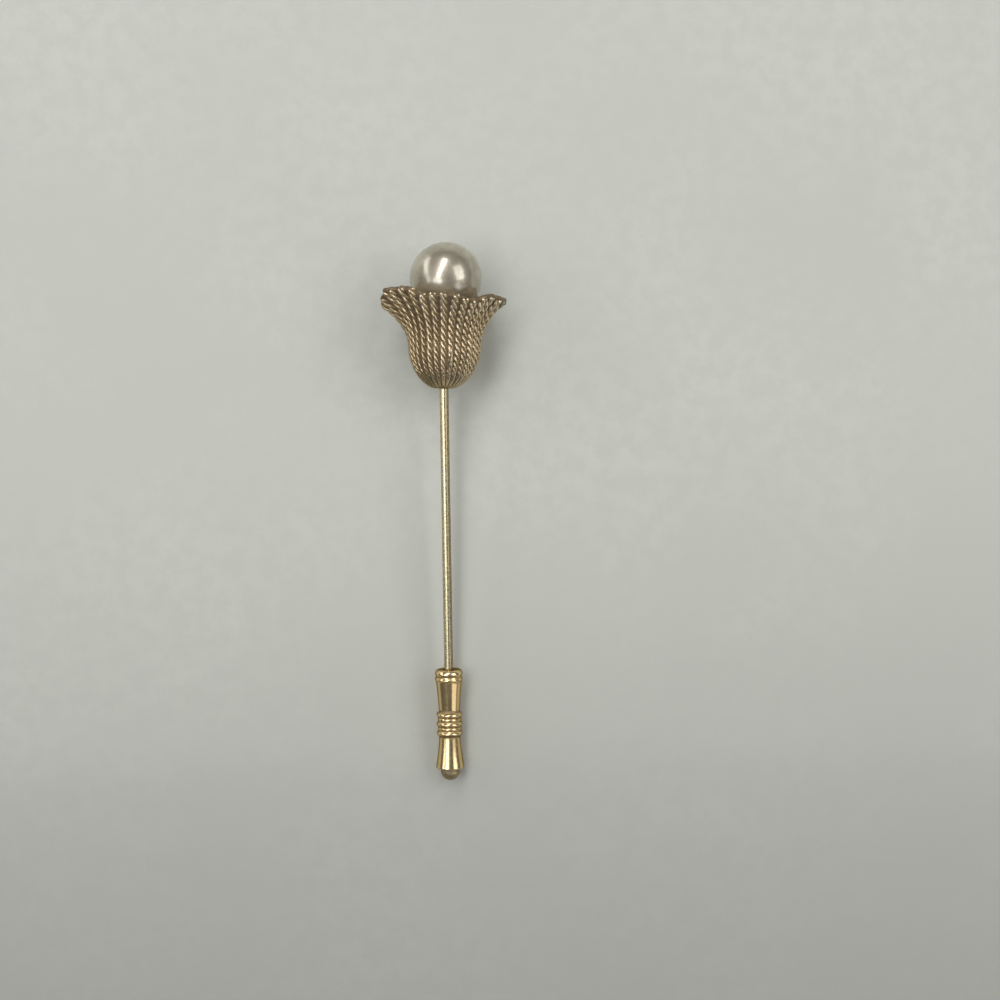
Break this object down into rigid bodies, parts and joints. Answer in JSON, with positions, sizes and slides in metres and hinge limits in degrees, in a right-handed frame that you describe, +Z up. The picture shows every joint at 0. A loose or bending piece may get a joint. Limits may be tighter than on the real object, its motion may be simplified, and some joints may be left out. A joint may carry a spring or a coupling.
{
  "type": "stick pin",
  "caption": "Stick pin lying flat: a pearl in a flared flower cup of rope wires on a long straight wire, with a turned clutch over its point.",
  "frame": {"origin": "middle of the lying pin's box, on the surface that it rests on", "axes": "+Y along the pin towards the pearl, +Z up from the surface, +X to the right"},
  "size_m": [0.0158, 0.067, 0.0145],
  "materials": {
    "stem": "polished, worn plating",
    "flower_cup": "satin, toned in the hollows",
    "pearl": "pearl lacquer",
    "clutch": "polished"
  },
  "bodies": {
    "pin": {"stem": "stem", "flower_cup": "flower_cup", "pearl": "pearl"},
    "clutch": {"clutch": "clutch"}
  },
  "joints": [
    {"name": "clutch_slide", "type": "slide", "parent": "pin", "child": "clutch", "axis": [0, -0.996, -0.0888], "range_m": [0, 0.06]}
  ]
}
